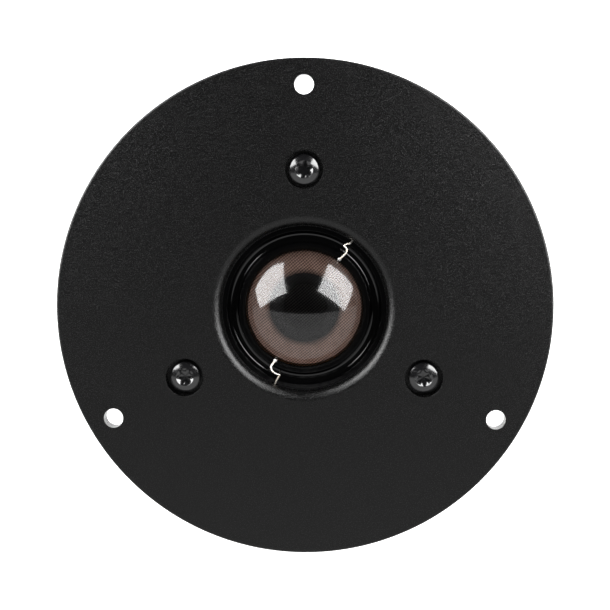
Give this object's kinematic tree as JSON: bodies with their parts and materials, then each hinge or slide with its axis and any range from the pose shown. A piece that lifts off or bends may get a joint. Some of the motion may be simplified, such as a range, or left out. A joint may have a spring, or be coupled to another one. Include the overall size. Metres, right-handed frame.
{
  "type": "dome tweeter",
  "caption": "Flush-mount soft-dome tweeter with a round faceplate, lead wires over an inverted-roll surround, a ring-magnet motor and a sealed rear chamber.",
  "frame": {"origin": "centre of the faceplate's rear face, the plane that meets the baffle before the foam gasket", "axes": "+Z out of the front along the dome's axis; +Y towards the mounting hole opposite the terminals; +X towards the wide, positive terminal"},
  "size_m": [0.11, 0.11, 0.0515],
  "materials": {
    "faceplate": "matte",
    "faceplate_gasket": "matte",
    "assembly_screws": "satin",
    "dome": "satin",
    "solder_joints": "satin",
    "surround": "gloss",
    "voice_coil_former": "satin",
    "voice_coil_winding": "gloss",
    "coil_carrier": "satin",
    "terminals": "satin",
    "polarity_washer": "matte",
    "terminal_rivets": "satin",
    "leads": "satin",
    "link_wire_positive": "satin",
    "link_wire_negative": "satin",
    "motor_steel": "satin",
    "magnet": "matte",
    "copper_cap": "satin",
    "vent_felt": "matte",
    "chamber_gasket": "matte",
    "rear_chamber": "satin",
    "chamber_wadding": "matte",
    "chamber_screws": "satin"
  },
  "bodies": {
    "chassis": {"faceplate": "faceplate", "faceplate_gasket": "faceplate_gasket", "assembly_screws": "assembly_screws", "surround": "surround", "coil_carrier": "coil_carrier", "terminal_positive": "terminals", "terminal_negative": "terminals", "polarity_washer": "polarity_washer", "terminal_rivets": "terminal_rivets", "lead_positive": "leads", "lead_negative": "leads", "link_wire_positive": "link_wire_positive", "link_wire_negative": "link_wire_negative", "top_plate": "motor_steel", "magnet": "magnet", "back_plate": "motor_steel", "pole_piece": "motor_steel", "copper_cap": "copper_cap", "vent_felt": "vent_felt", "chamber_gasket": "chamber_gasket", "rear_chamber": "rear_chamber", "chamber_wadding": "chamber_wadding", "chamber_screws": "chamber_screws"},
    "diaphragm": {"dome": "dome", "solder_joints": "solder_joints", "voice_coil_former": "voice_coil_former", "voice_coil_winding": "voice_coil_winding"}
  },
  "joints": [
    {"name": "diaphragm_travel", "type": "slide", "parent": "chassis", "child": "diaphragm", "axis": [0, 0, 1], "range_m": [-0.0005, 0.0005], "stiffness_N_per_m": 4900, "deforming": ["surround", "lead_positive", "lead_negative"]}
  ]
}
